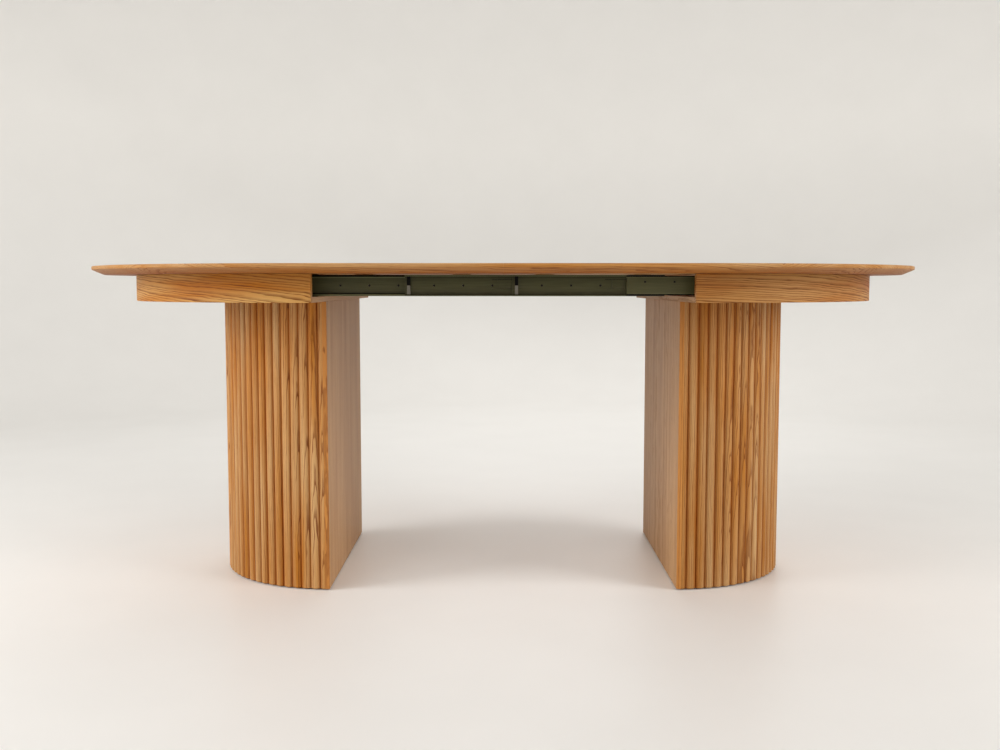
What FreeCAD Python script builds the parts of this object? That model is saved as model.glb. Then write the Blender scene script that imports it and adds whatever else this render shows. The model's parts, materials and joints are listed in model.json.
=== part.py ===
import FreeCAD, Part
import math
import os
import re

import Sketcher

# Round dining table that opens to an oval, on two half-round reeded pedestals.
# Millimetres, +Z up, origin on the floor midway between the pedestals, +X the way it opens.

# Driving sizes: name, value and what it measures
SIZES = (
    ("top_height", 760, "floor to the upper face of the top"),
    ("top_thickness", 20, "thickness of the top and the leaves"),
    ("top_radius", 610, "radius of the half-round ends"),
    ("edge_face", 8, "upright part of the edge, above the bevel"),
    ("edge_round", 2, "round-over of the upper edge"),
    ("bevel_inset", 28, "how far the bevel runs in under the edge"),
    ("leaf_width", 406, "width of one leaf along the table"),
    ("seam_gap", 0.4, "gap at each seam of the top"),
    ("end_setback", 0.6, "how far skirts and pedestals stay behind the seam edge"),
    ("pin_diameter", 10, "alignment pin"),
    ("pin_grip", 18, "length of a pin inside the half"),
    ("pin_reach", 17, "length of a pin past the half"),
    ("pin_inset", 130, "outer pins to the edge of the top"),
    ("pin_clear", 0.5, "room round a pin in the leaf's slot"),
    ("press_clear", 0.02, "room round a piece that is pressed in"),
    ("batten_width", 40, "leaf batten across the leaf"),
    ("batten_height", 16, "leaf batten below the leaf"),
    ("batten_gap", 52.4, "ends of the leaf battens to the slides"),
    ("batten_spacing", 220, "middle to middle of a leaf's battens"),
    ("top_overhang", 102, "edge of the top past the skirt"),
    ("apron_wall", 20, "thickness of the skirt"),
    ("board_thickness", 12, "base board under the skirt"),
    ("glue_gap", 0.2, "glue line round a fitted board"),
    ("rail_width", 20, "cross rail"),
    ("rail_offset", 22, "inner cross rail to the flat side"),
    ("rail_end_gap", 8, "outer cross rail to the inside of the skirt"),
    ("screw_diameter", 5, "shank of the wood screws"),
    ("screw_head", 9, "countersunk head of the wood screws"),
    ("screw_sink", 2, "depth of the countersunk head"),
    ("screw_clear", 0.1, "room round a screw"),
    ("screw_spread", 240, "screws of a cross rail to the centre line"),
    ("top_bite", 12, "screw into the top"),
    ("pedestal_radius", 300, "over the crests of the reeds"),
    ("reed_count", 40, "reeds round the half circle"),
    ("reed_depth", 6, "crest to groove of a reed"),
    ("stave_wall", 16, "crest of a reed to the inside of its stave"),
    ("panel_thickness", 11, "flat face of the pedestal"),
    ("panel_round", 1.5, "rounded upright corners of the flat face"),
    ("plate_clear", 0.3, "inside of the staves to the boards in the pedestal"),
    ("plate_thickness", 18, "cap and floor boards of the pedestal"),
    ("rib_thickness", 15, "middle board of the pedestal"),
    ("rib_height", 330, "floor to the middle board"),
    ("floor_gap", 3, "floor to the pedestal, which the glides make up"),
    ("glide_diameter", 34, "pad of a glide"),
    ("glide_stem", 7, "diameter of a glide's stem"),
    ("glide_grip", 12, "length of a glide's stem"),
    ("glide_inset", 40, "glides to the inside of the staves"),
    ("glide_angle", 20, "degrees from the middle of the curve to a glide"),
    ("bolt_diameter", 8, "pedestal bolt"),
    ("bolt_head", 16, "head of a pedestal bolt"),
    ("bolt_head_height", 5, "height of the head"),
    ("bolt_tip_gap", 2, "end of a bolt to the bottom of its insert"),
    ("bolt_clear", 0.25, "room round a bolt"),
    ("bolt_inset", 60, "bolts to the inside of the staves"),
    ("bolt_angle", 25, "degrees from the middle of the curve to a bolt"),
    ("insert_wall", 2, "wall of the threaded insert"),
    ("insert_floor", 3, "wood of the cap under an insert"),
    ("channel_height", 46.4, "slide channel"),
    ("channel_depth", 11, "slide channel, web to lips"),
    ("channel_wall", 2, "web, flanges and lips"),
    ("lip_return", 1.8, "lips past the flanges"),
    ("run_clear", 0.4, "running clearance in the slides"),
    ("fourth_proud", 1.4, "face of the fourth member past the third member's lips"),
    ("slide_drop", 2, "underside of the leaves to the slides"),
    ("slide_foot_gap", 1.6, "slides to the base board"),
    ("slide_inset", 50, "inside of the skirt to the slide's face"),
    ("slide_end_gap", 6, "ends of the slides to the skirt"),
    ("fourth_overhang", 139, "fourth member past its skirt"),
    ("first_overlap", 62, "second member inside the first"),
    ("second_overlap", 95, "third member inside the second"),
    ("third_overlap", 83, "fourth member inside the third"),
    ("hole_diameter", 5, "holes along the slides"),
    ("hole_pitch", 64, "step of the holes"),
    ("first_hole_start", 65.2, "end of the first member to its first hole"),
    ("middle_hole_start", 64, "end of a middle member to its first hole"),
    ("fourth_hole_start", 40, "end of the fourth member to its first hole"),
    ("fourth_hole_lift", 8, "holes of the fourth member above its middle"),
    ("stop_width", 7, "stop and buffer along the slide"),
    ("stop_inset", 5, "stop and buffer from the end of the member"),
    ("stop_room", 0.2, "room round stop and buffer in the channel"),
    ("latch_length", 46, "sprung latch in a web"),
    ("latch_height", 20, "sprung latch, slit to slit"),
    ("latch_slit", 1.2, "width of the slits round the latch"),
    ("latch_lift", 2.6, "middle of the latch above the slide's middle"),
    ("latch_cross", 31, "cross slit of the latch to the next member"),
    ("cleat_width", 18, "wooden bearers and cleats of the slides"),
    ("cleat_setback", 16, "cleats to the flat side of the skirt"),
    ("slide_screw_bite", 14, "slide screw into the wood"),
)
NAMES = {name for name, value, meaning in SIZES}
WORD = re.compile(r"[a-z_]+")

LEFT, RIGHT = -1, 1
ENDS = ((LEFT, "left"), (RIGHT, "right"))
NEAR, FAR = -1, 1
SIDES = ((NEAR, "near"), (FAR, "far"))
PLUS_X = FreeCAD.Vector(1, 0, 0)
PLUS_Y = FreeCAD.Vector(0, 1, 0)
PLUS_Z = FreeCAD.Vector(0, 0, 1)

# Holes of each slide member, and how many of them hold a screw
FIRST_HOLES = 6
MIDDLE_HOLES = 3
FOURTH_HOLES = 5
FOURTH_FREE_HOLES = 2
SLIDE_SCREWS = 2

doc = FreeCAD.newDocument("extending_table")
sheet = doc.addObject("Spreadsheet::Sheet", "sizes")
for row, (name, value, meaning) in enumerate(SIZES, start=1):
    sheet.set("A%d" % row, meaning)
    sheet.set("B%d" % row, str(value))
    sheet.setAlias("B%d" % row, name)
doc.recompute()
nodes = []

# Levels and planes that several pieces share, as expressions of the driving sizes
APRON_RADIUS = "(top_radius - top_overhang)"
APRON_INSIDE = "(%s - apron_wall)" % APRON_RADIUS
APRON_HEIGHT = "(slide_drop + channel_height + slide_foot_gap + board_thickness)"


def chord(across):
    """Half the length of the space inside the skirt at a distance from the centre line."""
    return "sqrt(%s^2 - (%s)^2)" % (APRON_INSIDE, across)


UNDER = "(top_height - top_thickness)"
PIN_LEVEL = "(top_height - top_thickness / 2)"
SEAM = "(leaf_width + 1.5 * seam_gap)"
FACE = "(%s + end_setback)" % SEAM
SKIRT_FOOT = "(%s - %s)" % (UNDER, APRON_HEIGHT)
BOARD_TOP = "(%s + board_thickness)" % SKIRT_FOOT
BOARD_RADIUS = "(%s - glue_gap)" % APRON_INSIDE
PANEL_BACK = "(%s + panel_thickness + glue_gap)" % FACE
PLATE_RADIUS = "(pedestal_radius - stave_wall - plate_clear)"
INSERT_BORE = "(bolt_diameter + 2 * bolt_clear)"
INSERT_WIDTH = "(%s + 2 * insert_wall)" % INSERT_BORE
INSERT_LENGTH = "(plate_thickness - insert_floor)"
BOLT_GRIP = "(%s - bolt_tip_gap)" % INSERT_LENGTH
SLIDE_TOP = "(%s - slide_drop)" % UNDER
SLIDE_FOOT = "(%s - channel_height)" % SLIDE_TOP
SLIDE_MIDDLE = "(%s - channel_height / 2)" % SLIDE_TOP
STAGE = "(channel_depth + run_clear)"
STACK = "(3 * %s + fourth_proud)" % STAGE
SLIDE_FRONT = "(%s - slide_inset)" % APRON_INSIDE
SLIDE_BACK = "(%s - %s)" % (SLIDE_FRONT, STACK)
SLIDE_REACH = "(%s - slide_end_gap)" % chord(SLIDE_FRONT)
CLEAT_REACH = "(%s - slide_end_gap)" % chord("%s + cleat_width" % SLIDE_FRONT)
FIRST_LEFT = "(-%s - %s)" % (FACE, SLIDE_REACH)
FIRST_RIGHT = "(%s - slide_end_gap - %s)" % (chord("%s + channel_depth" % SLIDE_BACK), FACE)
FOURTH_LEFT = "(%s - fourth_overhang)" % FACE
FOURTH_RIGHT = "(%s + %s)" % (FACE, SLIDE_REACH)
OVERLAPS = "(first_overlap + second_overlap + third_overlap)"
MIDDLE_LENGTH = "((%s - %s + %s) / 2)" % (FOURTH_LEFT, FIRST_RIGHT, OVERLAPS)
SECOND_LEFT = "(%s - first_overlap)" % FIRST_RIGHT
SECOND_RIGHT = "(%s + %s)" % (SECOND_LEFT, MIDDLE_LENGTH)
THIRD_LEFT = "(%s - second_overlap)" % SECOND_RIGHT
THIRD_RIGHT = "(%s + %s)" % (THIRD_LEFT, MIDDLE_LENGTH)
RAIL_HALF = "(%s - cleat_width - glue_gap)" % SLIDE_BACK
RAIL_OUTER = "(%s + %s - rail_end_gap)" % (FACE, chord(RAIL_HALF))
RAIL_INNER = "(%s + rail_offset)" % FACE
PIN_REACH = "(top_radius - pin_inset)"
PIN_ROWS = ("-" + PIN_REACH, "0", PIN_REACH)
BATTEN_HALF = "(%s - batten_gap)" % SLIDE_BACK


def cells(text):
    """Expression in which each named size refers to its cell in the sheet."""
    return WORD.sub(lambda word: "sizes." + word.group() if word.group() in NAMES else word.group(), text)


def size(name):
    """Value of a driving size."""
    return float(sheet.get(name))


def signed(side, text):
    """Expression on one side of a middle plane: as written, or negated."""
    return text if side > 0 else "-(%s)" % text


def span(side, low, high):
    """Bounds on one side of a middle plane, lowest first."""
    return (low, high) if side > 0 else ("-(%s)" % high, "-(%s)" % low)


def place(piece, x="0", y="0", z="0", turn=None):
    """Turn a piece and bind its position."""
    if turn:
        piece.Placement = FreeCAD.Placement(FreeCAD.Vector(), turn)
    for axis, text in (("x", x), ("y", y), ("z", z)):
        piece.setExpression("Placement.Base." + axis, cells(text))
    return piece


def block(name, x, y, z):
    """Box between a low and a high bound along each axis."""
    box = doc.addObject("Part::Box", name)
    for side, (low, high) in (("Length", x), ("Width", y), ("Height", z)):
        box.setExpression(side, cells("(%s) - (%s)" % (high, low)))
    return place(box, x[0], y[0], z[0])


def rod(name, diameter, length, base, direction=PLUS_Z):
    """Cylinder from a base point along a direction."""
    bar = doc.addObject("Part::Cylinder", name)
    bar.setExpression("Radius", cells("(%s) / 2" % diameter))
    bar.setExpression("Height", cells(length))
    return place(bar, *base, turn=FreeCAD.Rotation(PLUS_Z, direction))


def half_disc(name, side, radius, z):
    """Half-round board whose flat side lies on the face plane of one end."""
    disc = doc.addObject("Part::Cylinder", name)
    disc.Angle = 180
    disc.setExpression("Radius", cells(radius))
    disc.setExpression("Height", cells("(%s) - (%s)" % (z[1], z[0])))
    return place(disc, signed(side, FACE), "0", z[0], FreeCAD.Rotation(PLUS_Z, -90 * side))


def join(name, pieces):
    """One solid out of pieces that meet."""
    whole = doc.addObject("Part::MultiFuse", name)
    whole.Shapes = pieces
    whole.Refine = True
    return whole


def group(name, pieces):
    """Separate solids that share a node."""
    whole = doc.addObject("Part::Compound", name)
    whole.Links = pieces
    return whole


def cut(name, base, tools):
    """A piece with tools taken out of it."""
    rest = doc.addObject("Part::Cut", name)
    rest.Base = base
    rest.Tool = tools[0] if len(tools) == 1 else join(name + "_tools", tools)
    return rest


def screw(name, base, direction, length, spare="0"):
    """Countersunk wood screw from the flat of its head, or the hole for it with room to spare."""
    head = doc.addObject("Part::Cone", name + "_head")
    head.setExpression("Radius1", cells("screw_head / 2 + %s" % spare))
    head.setExpression("Radius2", cells("screw_diameter / 2 + %s" % spare))
    head.setExpression("Height", cells("screw_sink"))
    place(head, *base, turn=FreeCAD.Rotation(PLUS_Z, direction))
    wide, long = "screw_diameter + 2 * %s" % spare, "%s + %s" % (length, spare)
    return join(name, [head, rod(name + "_shank", wide, long, base, direction)])


def keep(piece, label):
    """Hand a finished sub-part to the export under its own name."""
    piece.Label = label
    nodes.append(piece)


def polygon(body, plane, corners):
    """Closed outline on an origin plane, each corner bound to its distances from the origin."""
    sketch = body.newObject("Sketcher::SketchObject", body.Name + "_outline")
    support = [datum for datum in body.Origin.OriginFeatures if datum.Role == plane][0]
    sketch.AttachmentSupport = [(support, "")]
    sketch.MapMode = "FlatFace"
    count = len(corners)
    turn = 2 * math.pi / count
    guesses = [FreeCAD.Vector(math.cos(i * turn), math.sin(i * turn), 0) for i in range(count)]
    for i in range(count):
        sketch.addGeometry(Part.LineSegment(guesses[i], guesses[(i + 1) % count]))
    for i in range(count):
        sketch.addConstraint(Sketcher.Constraint("Coincident", i, 2, (i + 1) % count, 1))
    for i, corner in enumerate(corners):
        for kind, axis, text in (("DistanceX", -2, corner[0]), ("DistanceY", -1, corner[1])):
            if text == "0":
                sketch.addConstraint(Sketcher.Constraint("PointOnObject", i, 1, axis))
                continue
            index = sketch.addConstraint(Sketcher.Constraint(kind, -1, 1, i, 1, 1.0))
            sketch.setExpression("Constraints[%d]" % index, cells(text))
    return sketch


def soften(body, feature, radius, wanted):
    """Round the edges of a feature that a test picks out."""
    doc.recompute()
    picked = ["Edge%d" % i for i, edge in enumerate(feature.Shape.Edges, start=1) if wanted(edge.BoundBox)]
    fillet = body.newObject("PartDesign::Fillet", body.Name + "_round")
    fillet.Base = (feature, picked)
    fillet.setExpression("Radius", cells(radius))


def turned_round(side):
    """Rotation that brings a piece made for the right end to one end."""
    return FreeCAD.Rotation(PLUS_Z, 0 if side > 0 else 180)


def top_screw_points(side):
    """Places of the screws that hold one end of the top, two on each cross rail."""
    middles = ("(%s + rail_width / 2)" % RAIL_INNER, "(%s - rail_width / 2)" % RAIL_OUTER)
    rows = ("-screw_spread", "screw_spread")
    return [(signed(side, x), y, SKIRT_FOOT) for x in middles for y in rows]


def top_screws(side, end):
    """Screws up through base board and cross rails into the top."""
    name = "top_screws_" + end
    length = "(%s + top_bite)" % APRON_HEIGHT
    points = top_screw_points(side)
    screws = [screw("%s_%d" % (name, i), point, PLUS_Z, length) for i, point in enumerate(points)]
    keep(group(name, screws), name)
    return [screw("%s_hole_%d" % (name, i), point, PLUS_Z, length, "screw_clear")
            for i, point in enumerate(points)]


def top_half(side, end, screw_holes):
    """Half-round end of the top: its edge outline turned half round, with pin and screw holes."""
    name = "top_half_" + end
    body = doc.addObject("PartDesign::Body", name + "_body")
    outline = polygon(body, "XZ_Plane", (
        ("0", UNDER),
        ("top_radius - bevel_inset", UNDER),
        ("top_radius", "top_height - edge_face"),
        ("top_radius", "top_height"),
        ("0", "top_height"),
    ))
    turned = body.newObject("PartDesign::Revolution", name + "_turned")
    turned.Profile = outline
    turned.ReferenceAxis = (outline, ["V_Axis"])
    turned.Angle = 180
    turned.Midplane = True
    rim = size("top_height") - size("edge_round")
    soften(body, turned, "edge_round", lambda box: box.ZMin > rim and box.XLength > 1)
    place(body, signed(side, SEAM), turn=turned_round(side))
    wide = "pin_diameter + 2 * press_clear"
    seam = signed(side, SEAM)
    pin_holes = [rod("%s_pin_hole_%d" % (name, i), wide, "pin_grip", (seam, y, PIN_LEVEL), PLUS_X * side)
                 for i, y in enumerate(PIN_ROWS)]
    keep(cut(name, body, pin_holes + screw_holes), name)


def alignment_pins(side, end):
    """Pins that stand out of the seam edge of one end."""
    name = "alignment_pins_" + end
    start = signed(side, "(%s - pin_reach)" % SEAM)
    length = "pin_reach + pin_grip"
    pins = [rod("%s_%d" % (name, i), "pin_diameter", length, (start, y, PIN_LEVEL), PLUS_X * side)
            for i, y in enumerate(PIN_ROWS)]
    keep(group(name, pins), name)


def leaf(side, end):
    """Loose leaf: the edge outline run along the table, with slots that drop over the pins."""
    name = "leaf_" + end
    body = doc.addObject("PartDesign::Body", name + "_body")
    outline = polygon(body, "YZ_Plane", (
        ("bevel_inset", UNDER),
        ("2 * top_radius - bevel_inset", UNDER),
        ("2 * top_radius", "top_height - edge_face"),
        ("2 * top_radius", "top_height"),
        ("0", "top_height"),
        ("0", "top_height - edge_face"),
    ))
    board = body.newObject("PartDesign::Pad", name + "_board")
    board.Profile = outline
    board.setExpression("Length", cells("leaf_width"))
    rim = size("top_height") - size("edge_round")
    soften(body, board, "edge_round", lambda box: box.ZMin > rim and box.YLength < 1)
    low, high = span(side, "seam_gap / 2", "(leaf_width + seam_gap / 2)")
    place(body, low, "-top_radius")
    along = span(side, "(%s - pin_reach - pin_clear)" % SEAM, SEAM)
    half = "(pin_diameter / 2 + pin_clear)"
    up = ("%s - pin_clear" % UNDER, "%s + %s" % (PIN_LEVEL, half))
    slots = [block("%s_slot_%d" % (name, i), along, ("%s - %s" % (y, half), "%s + %s" % (y, half)), up)
             for i, y in enumerate(PIN_ROWS)]
    keep(cut(name, body, slots), name)


def leaf_battens(side, end):
    """Two battens across the underside of a leaf."""
    name = "leaf_battens_" + end
    middle = "(seam_gap / 2 + leaf_width / 2)"
    battens = []
    for i, away in enumerate(("-", "+")):
        centre = "%s %s batten_spacing / 2" % (middle, away)
        along = span(side, "(%s - batten_width / 2)" % centre, "(%s + batten_width / 2)" % centre)
        across = ("-" + BATTEN_HALF, BATTEN_HALF)
        battens.append(block("%s_%d" % (name, i), along, across, ("%s - batten_height" % UNDER, UNDER)))
    keep(group(name, battens), name)


def apron(side, end):
    """Half-round skirt under one end of the top."""
    name = "apron_" + end
    levels = (SKIRT_FOOT, UNDER)
    outside = half_disc(name + "_outside", side, APRON_RADIUS, levels)
    inside = half_disc(name + "_inside", side, APRON_INSIDE, levels)
    keep(cut(name, outside, [inside]), name)


def ring_points(side, inset, angle, z):
    """Four places on a half circle inside a pedestal, mirrored about its middle and its diagonals."""
    radius = "(pedestal_radius - stave_wall - %s)" % inset
    along, across = "cos(%s * 1 deg)" % angle, "sin(%s * 1 deg)" % angle
    places = []
    for away, aside in ((along, across), (across, along)):
        x = signed(side, "(%s + %s * %s)" % (FACE, radius, away))
        places += [(x, signed(row, "(%s * %s)" % (radius, aside)), z) for row in (NEAR, FAR)]
    return places


def base_board(side, end, screw_holes):
    """Board that closes the skirt from below, on top of the pedestal."""
    name = "base_board_" + end
    board = half_disc(name + "_board", side, BOARD_RADIUS, (SKIRT_FOOT, BOARD_TOP))
    points = ring_points(side, "bolt_inset", "bolt_angle", SKIRT_FOOT)
    bolt_holes = [rod("%s_bolt_hole_%d" % (name, i), INSERT_BORE, "board_thickness", point)
                  for i, point in enumerate(points)]
    keep(cut(name, board, bolt_holes + screw_holes), name)


def cross_rails(side, end, screw_holes):
    """Two rails across the base board that carry the top."""
    name = "cross_rails_" + end
    inner = span(side, RAIL_INNER, "(%s + rail_width)" % RAIL_INNER)
    outer = span(side, "(%s - rail_width)" % RAIL_OUTER, RAIL_OUTER)
    rails = []
    for i, along in enumerate((inner, outer)):
        rail = block("%s_rail_%d" % (name, i), along, ("-" + RAIL_HALF, RAIL_HALF), (BOARD_TOP, UNDER))
        rails.append(cut("%s_%d" % (name, i), rail, screw_holes[2 * i:2 * i + 2]))
    keep(group(name, rails), name)


def staves(side, end):
    """Reeded staves glued edge to edge round the pedestal, the outer two cut off at the flat face."""
    name = "staves_" + end
    count = int(size("reed_count"))
    step = math.pi / count
    crest = size("pedestal_radius")
    groove = crest - size("reed_depth")
    bore = (crest - size("stave_wall")) / math.cos(step / 2)
    skirt = sum(map(size, ("slide_drop", "channel_height", "slide_foot_gap", "board_thickness")))
    height = size("top_height") - size("top_thickness") - skirt - size("floor_gap")
    panel_back = size("panel_thickness") + size("glue_gap")
    panel = Part.makeBox(panel_back, 2 * crest, height, FreeCAD.Vector(0, -crest, 0))

    def point(radius, angle):
        return FreeCAD.Vector(radius * math.sin(angle), -radius * math.cos(angle), 0)

    solids = []
    for i in range(count):
        start, end_angle = i * step, (i + 1) * step
        reed = Part.Arc(point(groove, start), point(crest, start + step / 2), point(groove, end_angle))
        flats = Part.makePolygon([point(groove, end_angle), point(bore, end_angle), point(bore, start),
                                  point(groove, start)])
        outline = Part.Wire([reed.toShape()] + flats.Edges)
        solids += Part.Face(outline).extrude(PLUS_Z * height).cut(panel).Solids
    ring = doc.addObject("Part::Feature", name)
    ring.Shape = Part.makeCompound(solids)
    place(ring, signed(side, FACE), "0", "floor_gap", turned_round(side))
    keep(ring, name)


def face_panel(side, end):
    """Flat face of a pedestal, with softened upright corners."""
    name = "face_panel_" + end
    body = doc.addObject("PartDesign::Body", name)
    outline = polygon(body, "XY_Plane", (
        ("0", "0"),
        ("panel_thickness", "0"),
        ("panel_thickness", "2 * pedestal_radius"),
        ("0", "2 * pedestal_radius"),
    ))
    board = body.newObject("PartDesign::Pad", name + "_board")
    board.Profile = outline
    board.setExpression("Length", cells("%s - floor_gap" % SKIRT_FOOT))
    soften(body, board, "panel_round", lambda box: box.ZLength > 1 and box.XMax < 1)
    place(body, signed(side, FACE), signed(side, "-pedestal_radius"), "floor_gap", turned_round(side))
    keep(body, name)


def pedestal_board(name, side, levels, holes):
    """Board across the inside of a pedestal, between the flat face and the staves."""
    disc = half_disc(name + "_disc", side, PLATE_RADIUS, levels)
    strip = block(name + "_strip", span(side, FACE, PANEL_BACK), ("-" + PLATE_RADIUS, PLATE_RADIUS), levels)
    keep(cut(name, disc, [strip] + holes), name)


def pedestal_boards(side, end):
    """Cap, middle and floor boards of a pedestal, with the holes of inserts and glides."""
    inserts = ring_points(side, "bolt_inset", "bolt_angle", "(%s - %s)" % (SKIRT_FOOT, INSERT_LENGTH))
    wide = "%s + 2 * press_clear" % INSERT_WIDTH
    insert_holes = [rod("insert_hole_%s_%d" % (end, i), wide, INSERT_LENGTH, point)
                    for i, point in enumerate(inserts)]
    stems = ring_points(side, "glide_inset", "glide_angle", "floor_gap")
    wide = "glide_stem + 2 * press_clear"
    stem_holes = [rod("stem_hole_%s_%d" % (end, i), wide, "glide_grip", point)
                  for i, point in enumerate(stems)]
    cap = ("%s - plate_thickness" % SKIRT_FOOT, SKIRT_FOOT)
    rib = ("rib_height", "rib_height + rib_thickness")
    floor = ("floor_gap", "floor_gap + plate_thickness")
    pedestal_board("pedestal_cap_" + end, side, cap, insert_holes)
    pedestal_board("pedestal_rib_" + end, side, rib, [])
    pedestal_board("pedestal_floor_" + end, side, floor, stem_holes)


def glides(side, end):
    """Nylon glides under a pedestal: a pad with a stem pressed into the floor board."""
    name = "glides_" + end
    pads = ring_points(side, "glide_inset", "glide_angle", "0")
    pieces = []
    for i, point in enumerate(pads):
        pad = rod("%s_pad_%d" % (name, i), "glide_diameter", "floor_gap", point)
        stem = rod("%s_stem_%d" % (name, i), "glide_stem", "floor_gap + glide_grip", point)
        pieces.append(join("%s_%d" % (name, i), [pad, stem]))
    keep(group(name, pieces), name)


def pedestal_bolts(side, end):
    """Bolts down through the base board into threaded inserts in the pedestal's cap."""
    name = "pedestal_bolts_" + end
    bolts = []
    sleeves = []
    tip = "(%s - %s)" % (SKIRT_FOOT, BOLT_GRIP)
    sunk = "(%s - %s)" % (SKIRT_FOOT, INSERT_LENGTH)
    for i, (x, y, z) in enumerate(ring_points(side, "bolt_inset", "bolt_angle", BOARD_TOP)):
        head = rod("%s_head_%d" % (name, i), "bolt_head", "bolt_head_height", (x, y, z))
        length = "%s + board_thickness + bolt_head_height" % BOLT_GRIP
        shank = rod("%s_shank_%d" % (name, i), "bolt_diameter", length, (x, y, tip))
        bolts.append(join("%s_%d" % (name, i), [head, shank]))
        outside = rod("insert_outside_%s_%d" % (end, i), INSERT_WIDTH, INSERT_LENGTH, (x, y, sunk))
        inside = rod("insert_inside_%s_%d" % (end, i), INSERT_BORE, INSERT_LENGTH, (x, y, sunk))
        sleeves.append(cut("insert_%s_%d" % (end, i), outside, [inside]))
    keep(group(name, bolts), name)
    keep(group("bolt_inserts_" + end, sleeves), "bolt_inserts_" + end)


def depth(side, low, high):
    """Bounds across the table at distances from the back of a slide's first member."""
    return span(side, "(%s + %s)" % (SLIDE_BACK, low), "(%s + %s)" % (SLIDE_BACK, high))


def within(inset):
    """Bounds in height at an inset from the foot and the top of a channel."""
    return ("%s + %s" % (SLIDE_FOOT, inset), "%s - %s" % (SLIDE_TOP, inset))


def channel(name, side, along, stage):
    """Lipped channel of one slide member, open away from the middle of the table."""
    back = "%d * %s" % (stage, STAGE)
    front = "%s + channel_depth" % back
    outside = block(name + "_outside", along, depth(side, back, front), within("0"))
    web, lips = back + " + channel_wall", front + " - channel_wall"
    inside = block(name + "_inside", along, depth(side, web, lips), within("channel_wall"))
    mouth = block(name + "_mouth", along, depth(side, lips, front), within("(channel_wall + lip_return)"))
    return cut(name, outside, [inside, mouth])


def runner(name, side, along, stage, front):
    """Head that runs in the channel of the member before, and the neck through its mouth."""
    back = "%d * %s" % (stage - 1, STAGE)
    lips = "%s + channel_depth - channel_wall - run_clear" % back
    head = block(name + "_head", along, depth(side, back + " + channel_wall + run_clear", lips),
                 within("(channel_wall + run_clear)"))
    neck = block(name + "_neck", along, depth(side, lips, front),
                 within("(channel_wall + lip_return + run_clear)"))
    return [head, neck]


def hole_places(left, start, count):
    """Places along the table of a member's row of holes."""
    return ["(%s + %s + %d * hole_pitch)" % (left, start, i) for i in range(count)]


def cross_holes(name, side, places, level):
    """Plain holes right through a member."""
    back = signed(side, SLIDE_BACK)
    return [rod("%s_hole_%d" % (name, i), "hole_diameter", STACK, (x, back, level), PLUS_Y * side)
            for i, x in enumerate(places)]


def slide_screws(name, side, places, level, start, outwards, spare="0"):
    """Screws through a slide member, headed at a distance from the slide's back, or the holes for them."""
    across = signed(side, "(%s + %s)" % (SLIDE_BACK, start))
    through = "(%s - %s)" % (STACK, start) if outwards else start
    length = "(%s + slide_screw_bite)" % through
    direction = PLUS_Y * (side if outwards else -side)
    return [screw("%s_%d" % (name, i), (x, across, level), direction, length, spare)
            for i, x in enumerate(places)]


def wood_support(name, along, across, holes):
    """Wooden bearer or cleat between base board and top that holds a slide."""
    keep(cut(name, block(name + "_wood", along, across, (BOARD_TOP, UNDER)), holes), name)


def first_member(side, at):
    """Channel that is fixed to the left end, its edges welded to a flat back, its bearer and its screws."""
    name = "slide_first_" + at
    along = (FIRST_LEFT, FIRST_RIGHT)
    profile = channel(name + "_channel", side, along, 0)
    seam = block(name + "_seam", along, depth(side, "0", "channel_wall + press_clear"), within("0"))
    edges = cut(name + "_edges", profile, [seam])
    web = block(name + "_web", along, depth(side, "0", "channel_wall"), within("0"))
    places = hole_places(FIRST_LEFT, "first_hole_start", FIRST_HOLES)
    plain = cross_holes(name, side, places, SLIDE_MIDDLE)
    fixed = places[:SLIDE_SCREWS]
    start = "channel_wall"
    holes = slide_screws(name + "_screw_hole", side, fixed, SLIDE_MIDDLE, start, False, "screw_clear")
    back = cut(name + "_back", web, plain + holes)
    keep(group(name, [back, edges]), name)
    beside = span(LEFT, FACE, "(%s + %s)" % (FACE, SLIDE_REACH))
    wood_support("slide_bearer_" + at, beside, depth(side, "-cleat_width", "0"), holes)
    return slide_screws(name + "_screw", side, fixed, SLIDE_MIDDLE, start, False)


def middle_member(order, side, at, stage, along, next_left):
    """Member with a runner behind and a channel in front, its latch slits, stop and buffer."""
    name = "slide_%s_%s" % (order, at)
    back = "%d * %s" % (stage, STAGE)
    face = back + " + channel_wall"
    pieces = [channel(name + "_channel", side, along, stage)] + runner(name, side, along, stage, back)
    holes = cross_holes(name, side, hole_places(along[0], "middle_hole_start", MIDDLE_HOLES), SLIDE_MIDDLE)
    latch = ("%s - latch_length" % next_left, next_left)
    latch_foot = "(%s + latch_lift - latch_height / 2)" % SLIDE_MIDDLE
    latch_top = latch_foot + " + latch_height"
    web = depth(side, back, face)
    slits = [block("%s_slit_%d" % (name, i), latch, web, (level, level + " + latch_slit"))
             for i, level in enumerate((latch_foot, latch_top))]
    cross = "%s - latch_cross" % next_left
    slits.append(block(name + "_slit_cross", (cross + " - latch_slit", cross), web, (latch_foot, latch_top)))
    keep(cut(name, join(name + "_profile", pieces), holes + slits), name)
    inside = depth(side, face, back + " + channel_depth - channel_wall - stop_room")
    end = ("(%s + stop_inset)" % along[0], "(%s + stop_inset + stop_width)" % along[0])
    foot, top = within("(channel_wall + stop_room)")
    stop = "slide_stop_%s_%s" % (order, at)
    keep(block(stop, end, inside, (foot, SLIDE_MIDDLE)), stop)
    buffer = "slide_buffer_%s_%s" % (order, at)
    keep(block(buffer, end, inside, (SLIDE_MIDDLE, top)), buffer)


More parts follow.
